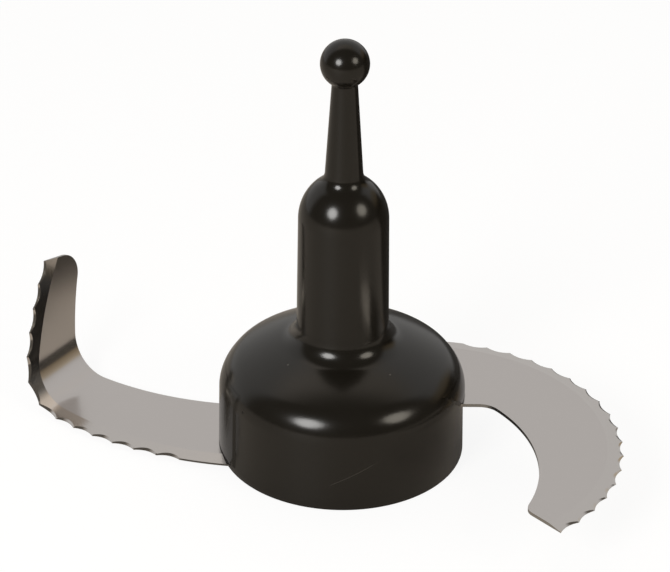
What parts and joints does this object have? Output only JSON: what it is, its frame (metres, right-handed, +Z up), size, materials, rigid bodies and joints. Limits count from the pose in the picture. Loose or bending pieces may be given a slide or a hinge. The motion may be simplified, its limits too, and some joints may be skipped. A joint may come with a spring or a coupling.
{
  "type": "kneading blade",
  "caption": "Black moulded kneading rotor with a lifting knob and serrated steel blades: a flat sickle, and a lower blade whose tip curls up.",
  "frame": {"origin": "on the drive axis, at the blind end of the shaft bore, where the drive shaft's end bears", "axes": "+Z up the drive axis towards the lifting knob; +X along the rotor's longest reach, from the lower blade's side to the upper blade's side"},
  "size_m": [0.1862, 0.1279, 0.1399],
  "materials": {
    "hub": "glossy black moulding",
    "blade": "bright rolled stainless sheet with a ground edge",
    "bush": "machined steel"
  },
  "bodies": {
    "root": {"hub": "hub", "lower_blade": "blade", "upper_blade": "blade", "drive_bush": "bush"}
  },
  "joints": []
}
